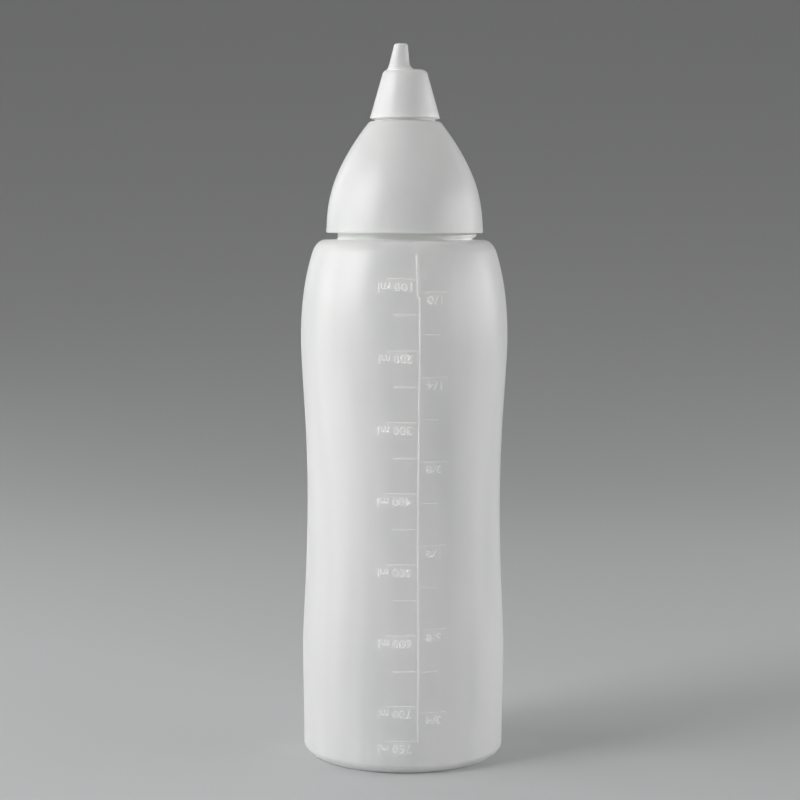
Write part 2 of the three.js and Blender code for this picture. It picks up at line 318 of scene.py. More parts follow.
def milky_plastic(name, light, dark, roughness, ior, depth, grain, grain_depth, flow, flow_depth):
    """Natural plastic. Grain is the fine texture of the mould, flow the slow waves left by the melt.

    Colours are sRGB hex. Depth is how far light walks in the wall, grain and flow are spacings, and each
    has the depth of its relief, all in millimetres. Flow has three spacings, across, across and up.
    """
    material = bpy.data.materials.new(name)
    material.use_nodes = True
    tree = material.node_tree
    tree.nodes.clear()
    where = add_node(tree, "ShaderNodeTexCoord")
    per_mm = 1 / MM
    stretch = add_node(
        tree,
        "ShaderNodeMapping",
        {"Scale": [per_mm / spacing for spacing in flow]},
        {"Vector": (where, "Object")},
    )
    waves = add_node(
        tree, "ShaderNodeTexNoise", {"Scale": 1.0, "Detail": 1.0}, {"Vector": (stretch, "Vector")}
    )
    speckle = add_node(
        tree, "ShaderNodeTexNoise", {"Scale": per_mm / grain, "Detail": 2.0}, {"Vector": (where, "Object")}
    )
    tint = add_node(tree, "ShaderNodeValToRGB", links={"Fac": (waves, "Fac")})
    for stop, position, colour in zip(tint.color_ramp.elements, TINT_STOPS, (dark, light)):
        stop.position, stop.color = position, linear(colour)
    gloss = add_node(
        tree,
        "ShaderNodeMapRange",
        {
            "From Min": NOISE_LOW,
            "From Max": NOISE_HIGH,
            "To Min": roughness[0],
            "To Max": roughness[1],
        },
        {"Value": (speckle, "Fac")},
    )
    slow = add_node(tree, "ShaderNodeBump", {"Distance": flow_depth * MM}, {"Height": (waves, "Fac")})
    fine = add_node(
        tree,
        "ShaderNodeBump",
        {"Distance": grain_depth * MM},
        {"Height": (speckle, "Fac"), "Normal": (slow, "Normal")},
    )
    shader = add_node(
        tree,
        "ShaderNodeBsdfPrincipled",
        {
            "IOR": ior,
            "Subsurface Weight": 1.0,
            "Subsurface Radius": COLOUR_REACH,
            "Subsurface Scale": depth * MM,
        },
        {"Base Color": (tint, "Color"), "Roughness": (gloss, "Result"), "Normal": (fine, "Normal")},
        subsurface_method="BURLEY",
    )
    add_node(tree, "ShaderNodeOutputMaterial", links={"Surface": (shader, "BSDF")})
    return material


# %% [markdown]
# Three finishes come from that recipe. The bottle is low-density polyethylene, blown into a mould with a
# sandblasted wall so that air can get out, which leaves a satin skin with slow vertical streaks where the
# melt stretched. The lid and cap are polypropylene, moulded under pressure: a little stiffer, clearer and
# smoother. The spout and the gasket are silicone rubber, which is almost clear but never shiny. The
# roughness of each is a narrow range, because a wide one makes a smooth moulding look dirty.

# %% The three finishes
blown_ldpe = milky_plastic(
    "blow_moulded_ldpe",
    light="#fbfbfa",
    dark="#f2f3f2",
    roughness=(0.285, 0.34),
    ior=1.51,
    depth=1.4,
    grain=0.7,
    grain_depth=0.0015,
    flow=(14, 14, 90),
    flow_depth=0.2,
)
moulded_pp = milky_plastic(
    "injection_moulded_polypropylene",
    light="#f9f9f8",
    dark="#f3f4f3",
    roughness=(0.285, 0.33),
    ior=1.49,
    depth=2.4,
    grain=0.9,
    grain_depth=0.002,
    flow=(12, 12, 40),
    flow_depth=0.14,
)
silicone = milky_plastic(
    "silicone_rubber",
    light="#f6f7f5",
    dark="#f1f3f0",
    roughness=(0.45, 0.55),
    ior=1.41,
    depth=3.0,
    grain=0.6,
    grain_depth=0.004,
    flow=(5, 5, 5),
    flow_depth=0.02,
)


def dress(name, bm, body, slot, material, *replaced):
    """Makes a finished piece of a shape, with its body, its material and the nodes that it stands for."""
    obj = to_object(name, bm)
    obj.data.materials.append(material)
    if body:
        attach(obj, body)
    if replaced:
        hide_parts(*replaced)
    print(name, "has", len(obj.data.polygons), "faces")
    return obj


# %% [markdown]
# ## The bottle
#
# A squeeze bottle is blow moulded: a soft tube of plastic is caught between two mould halves and blown out
# against them, so the wall is thin and all its corners are round. Its side isn't straight. It swells below
# the shoulder, draws in at the waist, where the hand goes, and swells again above the base. Four curves
# between five radii give that. They meet upright, so that they join without a kink, and the last one leans
# in where the shoulder starts. The same curves moved in by the wall make the inside.

# %% The side of the bottle
STAND_RADIUS = 32.8
STAND_WIDTH = 3.8
FOOT = (36.4, 3.8)
HIP = (36.87, 42.0)
WAIST = (35.15, 93.0)
BULGE = (37.5, 153.5)
NECK_HEIGHT = 15.7
SHOULDER = LIP - NECK_HEIGHT
SHOULDER_ROUND = 4.4  # how far below its flat the shoulder starts to round
SHOULDER_EDGE = (33.3, SHOULDER - SHOULDER_ROUND)
SHOULDER_FLAT = 28.6
SHOULDER_LEAN = 0.32  # how far in the side has turned, for each step up, where the shoulder starts
SHOULDER_STEPS = 14
WALL = 1.1
FLOOR_WALL = 1.5
FOOT_REACH = (0.1, 0.45)
BASE_STEPS = 12

# For each stretch of the side, how far its two handles reach as shares of its climb, its steps and its lean
STRETCHES = (
    ((0.3, 0.3), 10, 0.0),
    ((0.08, 0.41), 18, 0.0),
    ((0.5, 0.23), 20, 0.0),
    ((0.39, 0.28), 14, SHOULDER_LEAN),
)


def side_stretch(low, high, reach, steps, lean):
    """A stretch of the side, upright at its foot and leaning in by lean at its head."""
    climb = high[1] - low[1]
    leave = (low[0], low[1] + climb * reach[0])
    arrive = (high[0] + climb * reach[1] * lean, high[1] - climb * reach[1])
    return bend(low, leave, arrive, high, steps)


def bottle_side(wall, floor):
    """The side from the stand ring to the flat of the shoulder, moved in by wall."""
    knots = [(r - wall, z) for r, z in (FOOT, HIP, WAIST, BULGE, SHOULDER_EDGE)]
    stretches = [side_stretch(low, high, *how) for low, high, how in zip(knots, knots[1:], STRETCHES)]
    foot, edge = knots[0], knots[-1]
    flat = (SHOULDER_FLAT - wall, SHOULDER - wall)
    rise = (SHOULDER - SHOULDER_EDGE[1]) / 2
    leave = (edge[0] - SHOULDER_LEAN * rise, edge[1] + rise)
    arrive = ((flat[0] + edge[0]) / 2, flat[1])
    return run(
        corner((STAND_RADIUS - wall, floor), foot, True, BASE_STEPS, FOOT_REACH),
        *stretches,
        bend(edge, leave, arrive, flat, SHOULDER_STEPS),
    )


outer_side = bottle_side(0, 0)
print("side of", len(outer_side), "points, widest", round(2 * max(r for r, z in outer_side), 1), "mm")

# %% The whole bottle, turned
PUSH_UP = 4.5
PUSH_UP_REACH = (0.45, 0.5)
STAND_INSIDE = STAND_RADIUS - STAND_WIDTH
NECK_RADIUS = 24.2
NECK_WALL = 1.6
NECK_BORE = NECK_RADIUS - NECK_WALL
NECK_FILLET = 0.9
LIP_ROUND = 0.4

push_up = corner((0, PUSH_UP), (STAND_INSIDE, 0), True, BASE_STEPS, PUSH_UP_REACH)
bottle_outline = run(
    push_up,
    outer_side,
    corner((NECK_RADIUS + NECK_FILLET, SHOULDER), (NECK_RADIUS, SHOULDER + NECK_FILLET), True),
    corner((NECK_RADIUS, LIP - LIP_ROUND), (NECK_RADIUS - LIP_ROUND, LIP), False),
    corner((NECK_BORE + LIP_ROUND, LIP), (NECK_BORE, LIP - LIP_ROUND), True),
    corner((NECK_BORE, SHOULDER), (NECK_BORE + WALL, SHOULDER - WALL), False),
    bottle_side(WALL, FLOOR_WALL)[::-1],
    corner((STAND_INSIDE, FLOOR_WALL), (0, PUSH_UP + FLOOR_WALL), False, BASE_STEPS, PUSH_UP_REACH[::-1]),
)
bottle_shape = turn(bottle_outline)
print("plain bottle:", len(bottle_shape.faces), "faces")

# %% [markdown]
# ### Its thread
#
# The neck carries a screw thread of about one and a half turns. On the real bottle it shows as a short
# piece of ridge under the lid's rim at the right. A thread is a small section swept along a helix: the
# spin operator does this when it is also told how far to climb at each step. Its two ends then run out
# into the wall, as a moulder makes them so that the lid can find its way on. The lid's own thread lies
# half a pitch away from it.

# %% A thread by spin and climb
PITCH = 4.2
THREAD_STEPS = 72
THREAD_FOOT = 3.0
THREAD_CREST = 0.7
CREST_ROUND = 0.3
SUNK = 0.35
RUN_OUT = 0.16
THREAD_HEIGHT = SHOULDER + 1.8  # of its middle where it passes +X


def screw_thread(root, crest, start, turns, height):
    """A thread as one closed solid, with start and length in turns and its height where it passes +X."""
    outward = 1 if crest > root else -1
    buried = root - SUNK * outward
    low = buried + SUNK / 3 * outward
    upper = [
        (buried, THREAD_FOOT / 2),
        (crest - CREST_ROUND * outward, THREAD_CREST / 2 + CREST_ROUND),
        (crest, THREAD_CREST / 2),
    ]
    section = upper + [(radius, -half) for radius, half in upper[::-1]]
    bm = bmesh.new()
    verts = [bm.verts.new((radius, 0, height + PITCH * start + half)) for radius, half in section]
    face = bm.faces.new(verts)
    bmesh.ops.rotate(bm, cent=(0, 0, 0), matrix=Matrix.Rotation(2 * pi * start, 3, "Z"), verts=verts)
    bmesh.ops.spin(
        bm,
        geom=[face],
        cent=(0, 0, 0),
        axis=(0, 0, 1),
        dvec=(0, 0, PITCH / THREAD_STEPS),
        angle=2 * pi * turns,
        steps=round(turns * THREAD_STEPS),
    )
    for vert in bm.verts:
        radius = hypot(vert.co.x, vert.co.y)
        at = atan2(vert.co.y, vert.co.x) / (2 * pi)
        at += round((vert.co.z - height) / PITCH - at)
        share = min(max(min(at - start, start + turns - at) / RUN_OUT, 0), 1)
        ease = share * share * (3 - 2 * share)
        if (radius - low) * outward > 0:
            vert.co.xy *= (low + (radius - low) * ease) / radius
    bmesh.ops.recalc_face_normals(bm, faces=bm.faces[:])
    return place(bm, Matrix.Scale(MM, 4))


NECK_CREST = 26.0
LID_BORE = 26.15
LID_CREST = 24.5

neck_thread = screw_thread(NECK_RADIUS, NECK_CREST, start=-0.2, turns=1.7, height=THREAD_HEIGHT)
lid_thread = screw_thread(LID_BORE, LID_CREST, start=0.1, turns=1.5, height=THREAD_HEIGHT + PITCH / 2)
bottle_shape = combine(bottle_shape, neck_thread, "UNION")
print("with its thread:", len(bottle_shape.faces), "faces")

# %% [markdown]
# ### Its scale
#
# The front of the bottle has a moulded scale: a rule, marks every 50 ml to its left and every sixteenth of
# a quart to its right, and figures. They are upside down while the bottle stands, because it is stored
# and read on its cap. The marks are drawn flat, along and up, as on a strip of paper, and then wrapped
# onto the side: a point's distance along becomes an angle, and its height picks the bottle's radius there.
# The relief grows fainter towards the foot, where the tube touched the mould last and coldest.

# %% Wrapping a flat drawing onto the side
RULE_ANGLE = radians(8.3)
FADED = 0.55  # how much of its rise the relief keeps at the foot of the bottle
READING_START = 100
READING_HEIGHT = 175.1  # of the mark that the scale starts with
HEIGHT_PER_ML = 0.2507


def height_of(millilitres):
    """The height of the mark for a volume, which is read from the bottle's top down."""
    return READING_HEIGHT - (millilitres - READING_START) * HEIGHT_PER_ML


def side_radius(height):
    """The bottle's outer radius at a height, between the two nearest points of its outline."""
    for (r0, z0), (r1, z1) in zip(outer_side, outer_side[1:]):
        if z0 <= height <= z1:
            return r0 + (r1 - r0) * (height - z0) / (z1 - z0)
    return STAND_RADIUS


def wrap(bm):
    """Takes a drawing of distance along, height and rise, in millimetres, onto the side."""
    for vert in bm.verts:
        along, height, rise = vert.co
        fade = FADED + (1 - FADED) * height / SHOULDER if rise > 0 else 1
        radius = side_radius(height) + rise * fade
        angle = RULE_ANGLE + along / side_radius(height)
        vert.co = Vector((sin(angle) * radius, -cos(angle) * radius, height)) * MM
    return bm


# %% Raised bars
BAR_WIDTH = 0.55
BAR_RISE = 0.16
BAR_SUNK = 0.3
BAR_STEP = 1.5
BAR_ROUND = 0.3  # how much of its width a bar's top edges are rounded by


def bar(left, right, low, high, rise=BAR_RISE):
    """A flat bar with a rounded top, cut across every so often so that it can follow the side."""
    size = Vector((right - left, high - low, rise + BAR_SUNK))
    middle = Vector((left + right, high + low, rise - BAR_SUNK)) / 2
    bm = bmesh.new()
    bmesh.ops.create_cube(bm, size=1, matrix=Matrix.Translation(middle) @ Matrix.Diagonal((*size, 1)))
    top = [edge for edge in bm.edges if all(vert.co.z > 0 for vert in edge.verts)]
    thin = min(size.x, size.y)
    bmesh.ops.bevel(
        bm, geom=top, offset=thin * BAR_ROUND, segments=2, profile=0.5, affect="EDGES", material=-1
    )
    long_way = Vector((1, 0, 0)) if size.x > size.y else Vector((0, 1, 0))
    length = max(size.x, size.y)
    cuts = int(length / BAR_STEP)
    for cut in range(1, cuts):
        at = middle + long_way * length * (cut / cuts - 0.5)
        geom = bm.verts[:] + bm.edges[:] + bm.faces[:]
        bmesh.ops.bisect_plane(bm, geom=geom, dist=MERGE, plane_co=at, plane_no=long_way)
    return bm


def tick(start, length, millilitres, rise=BAR_RISE):
    """A mark beside the rule, to its left where start and length are negative."""
    left, right = sorted((start, start + length))
    height = height_of(millilitres)
    return bar(left, right, height - BAR_WIDTH / 2, height + BAR_WIDTH / 2, rise)


# %% The rule and its marks
QUART = 946.353
RULE_HIGH, RULE_WIDE, RULE_LOW = 183.7, 168.9, 11.9
WIDE_HALF, THIN_HALF = 0.6, 0.25
WIDE_SHIFT = -0.35
WIDE_RISE = 0.28
QUART_RISE = 0.1
TICK_START = 1.15
LONG_LEFT, SHORT_LEFT = 10.0, 7.7
LONG_RIGHT, SHORT_RIGHT = 8.9, 5.9

scale = bmesh.new()
add_shape(
    scale, bar(WIDE_SHIFT - WIDE_HALF, WIDE_SHIFT + WIDE_HALF, RULE_WIDE + HAIR, RULE_HIGH, WIDE_RISE)
)
add_shape(scale, bar(-THIN_HALF, THIN_HALF, RULE_LOW, RULE_WIDE))
for millilitres in range(100, 751, 50):
    is_long = millilitres % 100 == 0 or millilitres == 750
    add_shape(scale, tick(-TICK_START, -LONG_LEFT if is_long else -SHORT_LEFT, millilitres))
for sixteenths in range(2, 13):
    length = SHORT_RIGHT if sixteenths % 2 else LONG_RIGHT
    add_shape(scale, tick(TICK_START, length, QUART * sixteenths / 16, QUART_RISE))
print("rule and marks:", len(scale.faces), "faces")

# %% Figures
FIGURE_SLOPE = 0.025
FIGURE_DROP = 2.8
LETTER_MERGE = 1e-5
LEFT_FIGURES = {"centre": -8.4, "width": 11.8, "tall": 3.0, "rise": 0.2}
RIGHT_FIGURES = {"centre": 5.4, "width": 5.6, "tall": 2.7, "rise": 0.14}


def figures(words, height, centre, width, tall, rise):
    """Raised words, turned upside down, that fill a width and a height."""
    text = bpy.data.curves.new("figures", "FONT")
    text.body = words
    text.extrude = FIGURE_SLOPE
    text.bevel_depth = FIGURE_SLOPE
    text.bevel_resolution = 0
    text.offset = -FIGURE_SLOPE
    text.resolution_u = 4
    text.space_character, text.space_word = 0.95, 0.85
    holder = bpy.data.objects.new("figures", text)
    bpy.context.scene.collection.objects.link(holder)
    bm = to_shape(holder, merge=LETTER_MERGE)
    low, high = [[pick(v.co[axis] for v in bm.verts) for axis in range(3)] for pick in (min, max)]
    start = (centre + width / 2, height + tall / 2, -BAR_SUNK)
    end = (centre - width / 2, height - tall / 2, rise)
    for vert in bm.verts:
        for axis in range(3):
            share = (vert.co[axis] - low[axis]) / (high[axis] - low[axis])
            vert.co[axis] = start[axis] + (end[axis] - start[axis]) * share
    bmesh.ops.recalc_face_normals(bm, faces=bm.faces[:])
    return bm


all_figures = bmesh.new()
for millilitres in (100, 200, 300, 400, 500, 600, 700, 750):
    height = height_of(millilitres) - FIGURE_DROP
    add_shape(all_figures, figures(f"{millilitres} ml", height, **LEFT_FIGURES))
for sixteenths, words in ((2, "1/8"), (4, "1/4"), (6, "3/8"), (8, "1/2"), (10, "5/8"), (12, "3/4")):
    height = height_of(QUART * sixteenths / 16) - FIGURE_DROP
    add_shape(all_figures, figures(words, height, **RIGHT_FIGURES))
scale = combine(scale, all_figures, "UNION", crossing=True)
print("rule, marks and figures:", len(scale.faces), "faces")
bottle_shape = combine(bottle_shape, wrap(scale), "UNION")
print("with its scale:", len(bottle_shape.faces), "faces")

# %% [markdown]
# ### Signs of blow moulding
#
# Where the two mould halves met, a blown bottle has a fine raised line up each side, and across the base
# a pinched seam where they squeezed the tube shut. Both are thin round ridges that follow the outline, so
# they are curves with a small bevel, mostly sunk in the wall.

# %% Parting lines and the pinched base
PARTING_THICK, PARTING_SUNK = 0.24, 0.07
PINCH_THICK, PINCH_SUNK = 0.7, 0.1


def ridge(outline, thickness):
    """A round ridge along an outline, on the plane where the mould opened."""
    curve = bpy.data.curves.new("ridge", "CURVE")
    curve.dimensions = "3D"
    curve.bevel_depth = thickness * MM / 2
    curve.bevel_resolution = 2
    curve.use_fill_caps = True
    line = curve.splines.new("POLY")
    line.points.add(len(outline) - 1)
    for spot, (reach, height) in zip(line.points, outline):
        spot.co = (reach * cos(RULE_ANGLE) * MM, reach * sin(RULE_ANGLE) * MM, height * MM, 1)
    holder = bpy.data.objects.new("ridge", curve)
    bpy.context.scene.collection.objects.link(holder)
    return to_shape(holder)


seams = bmesh.new()
for side in (-1, 1):
    line = [(side * (radius - PARTING_SUNK), height) for radius, height in outer_side if height > FOOT[1]]
    add_shape(seams, ridge(line, PARTING_THICK))
inner_half = [(radius, height + PINCH_SUNK) for radius, height in push_up if height > PINCH_THICK]
outer_half = [(-radius, height) for radius, height in inner_half[:0:-1]]
add_shape(seams, ridge(outer_half + inner_half, PINCH_THICK))
bmesh.ops.recalc_face_normals(seams, faces=seams.faces[:])
bottle_shape = combine(bottle_shape, seams, "UNION")
dress("squeeze_bottle", bottle_shape, "bottle", "natural_ldpe", blown_ldpe, "bottle")

# %% [markdown]
# ## The dome lid
#
# The lid is one moulding: a skirt over the neck, a dome, and on its top a spigot that the spout comes
# through. Inside is a ledge that presses the gasket on the bottle's lip. One closed outline holds all of
# it. The inside of the dome is its outside moved in by the wall, square to the curve, so that the wall
# keeps its thickness where the dome leans. A bead round the spigot holds the cap's ring down.

# %% The lid's outline
LID_HEIGHT = 40.0
LID_WALL = 1.7
RIM_RADIUS = 28.4
RIM_ROUND = 0.5
DOME_TOP = (13.5, LID_HEIGHT - 0.9)
DOME_HANDLES = ((0.045, 0.215), (-0.01, 0.486))  # as shares of how far the dome draws in and climbs
DOME_STEPS = 44
DOME_FLAT = 12.1
FLAT_HANDLES = ((-0.42, 0.55), (0.5, 0))  # from the dome's top, and from its flat's edge
SEAT_GAP = 0.1  # between two pieces that seat on one another
LEDGE = GASKET_HIGH + SEAT_GAP
LEDGE_RADIUS = 22.9
PILOT_BORE = 25.5
SKIRT_BORE_HEIGHT = 11.6
PLATE = LID_HEIGHT - 2.0
SPIGOT_RADIUS = 8.6
SPIGOT_BORE = 6.6
SPIGOT_EDGE = 0.4
BEAD_DEPTH = 0.6
BEAD_HEIGHT = 0.9
BEAD_STEPS = 8
BOSS_RADIUS = 9.4
BOSS_BORE = 8.0
BOSS_LOW = PLATE - 4.0
BOSS_LIP = 0.5

narrowing = RIM_RADIUS - DOME_TOP[0]
climb = DOME_TOP[1] - RIM_ROUND
handles = [(RIM_RADIUS - narrowing * inward, RIM_ROUND + climb * up) for inward, up in DOME_HANDLES]
dome_outside = bend((RIM_RADIUS, RIM_ROUND), *handles, DOME_TOP, DOME_STEPS)
dome_inside = [(r, z) for r, z in inset(dome_outside, LID_WALL) if r < LEDGE_RADIUS and z < PLATE]
ends = (DOME_TOP, (DOME_FLAT, LID_HEIGHT))
handles = [(end[0] + inward, end[1] + up) for end, (inward, up) in zip(ends, FLAT_HANDLES)]
dome_round = bend(ends[0], *handles, ends[1], ROUND_STEPS)

bead_top = SPIGOT_TOP - SPIGOT_EDGE
bead_low = bead_top - BEAD_HEIGHT
bead_out = SPIGOT_RADIUS + BEAD_DEPTH * 4 / 3  # a curve comes out three quarters as far as its handles
ends = ((SPIGOT_RADIUS, bead_low), (SPIGOT_RADIUS, bead_top))
bead = bend(ends[0], (bead_out, bead_low), (bead_out, bead_top), ends[1], BEAD_STEPS)
lid_outline = run(
    corner((RIM_RADIUS - RIM_ROUND, 0), (RIM_RADIUS, RIM_ROUND), True),
    dome_outside,
    dome_round,
    [(SPIGOT_RADIUS, LID_HEIGHT)],
    bead,
    corner((SPIGOT_RADIUS, bead_top), (SPIGOT_RADIUS - SPIGOT_EDGE, SPIGOT_TOP), False),
    [(SPIGOT_BORE, SPIGOT_TOP), (SPIGOT_BORE, PLATE), (BOSS_BORE, PLATE)],
    [(BOSS_BORE, BOSS_LOW + BOSS_LIP), (BOSS_BORE - BOSS_LIP, BOSS_LOW)],
    [(BOSS_RADIUS, BOSS_LOW), (BOSS_RADIUS, PLATE)],
    dome_inside[::-1],
    [(LEDGE_RADIUS, dome_inside[0][1]), (LEDGE_RADIUS, LEDGE), (PILOT_BORE, LEDGE)],
    [(PILOT_BORE, SKIRT_BORE_HEIGHT + LID_BORE - PILOT_BORE), (LID_BORE, SKIRT_BORE_HEIGHT)],
    corner((LID_BORE, RIM_ROUND), (LID_BORE + RIM_ROUND, 0), False),
)
lid_shape = combine(place(turn(closed(lid_outline)), ON_LID), lid_thread, "UNION")
dress("screw_on_dome_lid", lid_shape, "lid", "natural_pp", moulded_pp, "dome_lid")

# %% [markdown]
# ### What the lid holds
#
# Under the dome are three loose pieces that have to come out for washing: a flat gasket, the silicone
# spout, and a ring that snaps in under the spout's flange. The spout ends in a small dome with a cross cut
# through it. The cut opens when the bottle is squeezed and shuts again after, so nothing drips. It shows
# when the cap is open.

# %% Gasket and retainer
GASKET_BORE, GASKET_RADIUS, GASKET_EDGE = 22.9, 25.2, 0.2
RETAINER_BORE, RETAINER_RADIUS, RETAINER_EDGE = 5.6, 7.7, 0.25

gasket = ring_outline(GASKET_BORE, GASKET_RADIUS, GASKET_LOW, GASKET_HIGH, GASKET_EDGE)
retainer = ring_outline(RETAINER_BORE, RETAINER_RADIUS, RETAINER_LOW, RETAINER_HIGH, RETAINER_EDGE)
dress("lip_gasket", place(turn(gasket), ON_LID), "seal", "silicone", silicone, "lid_gasket")
dress("snap_retainer", place(turn(retainer), ON_LID), "lid", "natural_pp", moulded_pp, "valve_retainer")

# %% Spout with its cross slit
STEM_RADIUS = 6.3
STEM_BORE = 5.0
FLANGE_RADIUS = 7.7
FLANGE_TOP = PLATE - SEAT_GAP
FLANGE_EDGE = 0.2
CONE_LOW = SPIGOT_TOP + 0.3
CONE_HIGH = CONE_LOW + 8
CONE_EDGE = 0.2
TIP_RADIUS = 2.4
TIP_WALL = 1.0
SLIT_LENGTH = 3.0
SLIT_WIDTH = 0.3

spout_outside = run(
    [(STEM_BORE, SPOUT_LOW)],
    corner((FLANGE_RADIUS - FLANGE_EDGE, SPOUT_LOW), (FLANGE_RADIUS, SPOUT_LOW + FLANGE_EDGE), True),
    [(FLANGE_RADIUS, FLANGE_TOP), (STEM_RADIUS, FLANGE_TOP), (STEM_RADIUS, CONE_LOW - CONE_EDGE)],
    [(STEM_RADIUS - CONE_EDGE / 2, CONE_LOW + CONE_EDGE)],
    corner((TIP_RADIUS, CONE_HIGH), (0, SPOUT_HIGH), False, steps=8),
)
spout_inside = run(
    corner((0, SPOUT_HIGH - TIP_WALL), (TIP_RADIUS - TIP_WALL, CONE_HIGH - TIP_WALL), True, steps=6),
    [(STEM_BORE, CONE_LOW - TIP_WALL), (STEM_BORE, SPOUT_LOW)],
)
spout = turn(spout_outside, spout_inside)
for half_x, half_y in ((SLIT_LENGTH / 2, SLIT_WIDTH / 2), (SLIT_WIDTH / 2, SLIT_LENGTH / 2)):
    low, high = CONE_HIGH - 2 * TIP_WALL, SPOUT_HIGH + TIP_WALL
    slit = block((-half_x, -half_y, low), (half_x, half_y, high), SLIT_WIDTH / 6)
    spout = combine(spout, slit, "DIFFERENCE")
dress("slit_spout", place(spout, ON_LID), "lid", "silicone", silicone, "spout_valve")

# %% [markdown]
# ## The flip cap
#
# Ring, hinge and cap come out of the mould as one piece. The ring snaps over the spigot. A strip of half a
# millimetre joins it to the cap: polypropylene bends there thousands of times without breaking. The cap is
# a cone-shaped cup with a pad inside that shuts the spout, and a finger-sized tab on its top, set off
# towards the front so that a thumb can push it up.

# %% Ring and its lug
RING_BORE = SPIGOT_RADIUS + 0.3
RING_RADIUS = 11.0
RING_EDGE = 0.3
HINGE_HALF = 3.0
HINGE_GAP = 0.7
LUG_EDGE = 0.25
LUG_TOP = LID_HEIGHT + 1.5
LUG_THICK = 1.2
LUG_ROOT = 0.8  # how far the lug reaches into the ring

ring_shape = turn(ring_outline(RING_BORE, RING_RADIUS, RING_LOW, RING_HIGH, RING_EDGE))
ring_lug = block(
    (-HINGE_HALF, RING_RADIUS - LUG_ROOT, LUG_TOP - LUG_THICK),
    (HINGE_HALF, HINGE_REACH - HINGE_GAP, LUG_TOP),
    LUG_EDGE,
)
ring_shape = combine(ring_shape, ring_lug, "UNION")
dress("snap_ring", place(ring_shape, ON_LID), "lid", "natural_pp", moulded_pp, "cap_ring")

# %% Cup
CAP_RADIUS = 12.55
CAP_WALL = 1.1
CAP_EDGE = 0.4
CUP_LOW = CAP_LOW + 0.2
LEAD_IN = 0.5
CAP_SHOULDER = 8.27
SHOULDER_DROP = 2.0
CAP_FLAT = 5.9
PAD_RADIUS = 2.6
PAD_LOW = SPOUT_HIGH + 0.3
PAD_EDGE = 0.3
TAB_HEIGHT = 9.2
CAP_TOP = TIP - TAB_HEIGHT
CEILING = CAP_TOP - CAP_WALL
CAP_SLOPE = (CAP_RADIUS - CAP_SHOULDER) / (CAP_TOP - SHOULDER_DROP - CUP_LOW - CAP_EDGE)


def cap_bore(height):
    """The point of the cup's inside at a height."""
    return CAP_RADIUS - CAP_WALL - (height - CUP_LOW - CAP_EDGE) * CAP_SLOPE, height


inside_corner = (cap_bore(CEILING)[0] - CAP_WALL, CEILING)
cup_outline = run(
    [(0, PAD_LOW)],
    corner((PAD_RADIUS - PAD_EDGE, PAD_LOW), (PAD_RADIUS, PAD_LOW + PAD_EDGE), True),
    corner((PAD_RADIUS, CEILING - PAD_EDGE), (PAD_RADIUS + PAD_EDGE, CEILING), False),
    bend(inside_corner, cap_bore(CEILING), cap_bore(CEILING), cap_bore(CEILING - CAP_WALL), steps=6),
    corner(cap_bore(CUP_LOW + LEAD_IN), (cap_bore(CUP_LOW)[0] + LEAD_IN, CUP_LOW), False),
    corner((CAP_RADIUS - CAP_EDGE, CUP_LOW), (CAP_RADIUS, CUP_LOW + CAP_EDGE), True),
    corner((CAP_SHOULDER, CAP_TOP - SHOULDER_DROP), (CAP_FLAT, CAP_TOP), False, steps=8),
    [(0, CAP_TOP)],
)

# %% [markdown]
# The tab is lofted: level circles from its foot to its tip, bridged one to the next. In front they follow
# the slope of the cap, behind they stand almost upright and sweep out in a fillet at the foot.

# %% Thumb tab
TAB_FRONT = 4.7
TAB_BACK = 0.1
TAB_LEAN = 0.4
TAB_ROUND = 0.8
TAB_FILLET = 2.6
TAB_SUNK = 0.3
TAB_STEPS = 12


def tab_circle(bm, rise, shrink=0.0, sunk=0.0):
    """One level circle of the tab, as its edges."""
    down = TAB_HEIGHT - rise
    spread = max(TAB_FILLET - rise, 0)
    flare = TAB_FILLET - (TAB_FILLET**2 - spread**2) ** 0.5
    front = TAB_FRONT + down * CAP_SLOPE - shrink
    back = TAB_BACK + TAB_LEAN * down / TAB_HEIGHT + flare - shrink
    centre = Vector((0, (back - front) / 2, CAP_TOP + rise - sunk)) * MM
    made = bmesh.ops.create_circle(
        bm, segments=SEGMENTS, radius=(front + back) / 2 * MM, matrix=Matrix.Translation(centre)
    )
    return list({edge for vert in made["verts"] for edge in vert.link_edges})


def thumb_tab():
    """The tab as a closed solid, sunk a little into the top of the cap."""
    bm = bmesh.new()
    quarter = [pi / 2 * step / TAB_STEPS for step in range(TAB_STEPS + 1)]
    straight = TAB_HEIGHT - TAB_ROUND - TAB_FILLET
    rings = [tab_circle(bm, 0, sunk=TAB_SUNK)]
    rings += [tab_circle(bm, TAB_FILLET * (1 - cos(angle))) for angle in quarter]
    rings += [tab_circle(bm, TAB_FILLET + straight * share) for share in (0.25, 0.5, 0.75)]
    for angle in quarter:
        rise = TAB_HEIGHT - TAB_ROUND * (1 - sin(angle))
        rings.append(tab_circle(bm, rise, shrink=TAB_ROUND * (1 - cos(angle))))
    for lower, upper in zip(rings, rings[1:]):
        bmesh.ops.bridge_loops(bm, edges=lower + upper)
    for end in (rings[0], rings[-1]):
        bmesh.ops.edgeloop_fill(bm, edges=end)
    bmesh.ops.recalc_face_normals(bm, faces=bm.faces[:])
    return bm


# %% The cap put together
CAP_LUG_THICK = 1.5
LUG_OVERHANG = 0.3
NOTCH_GAP = 0.3
CUT_CLEAR = 1  # how far a cutting block stands clear of what it cuts

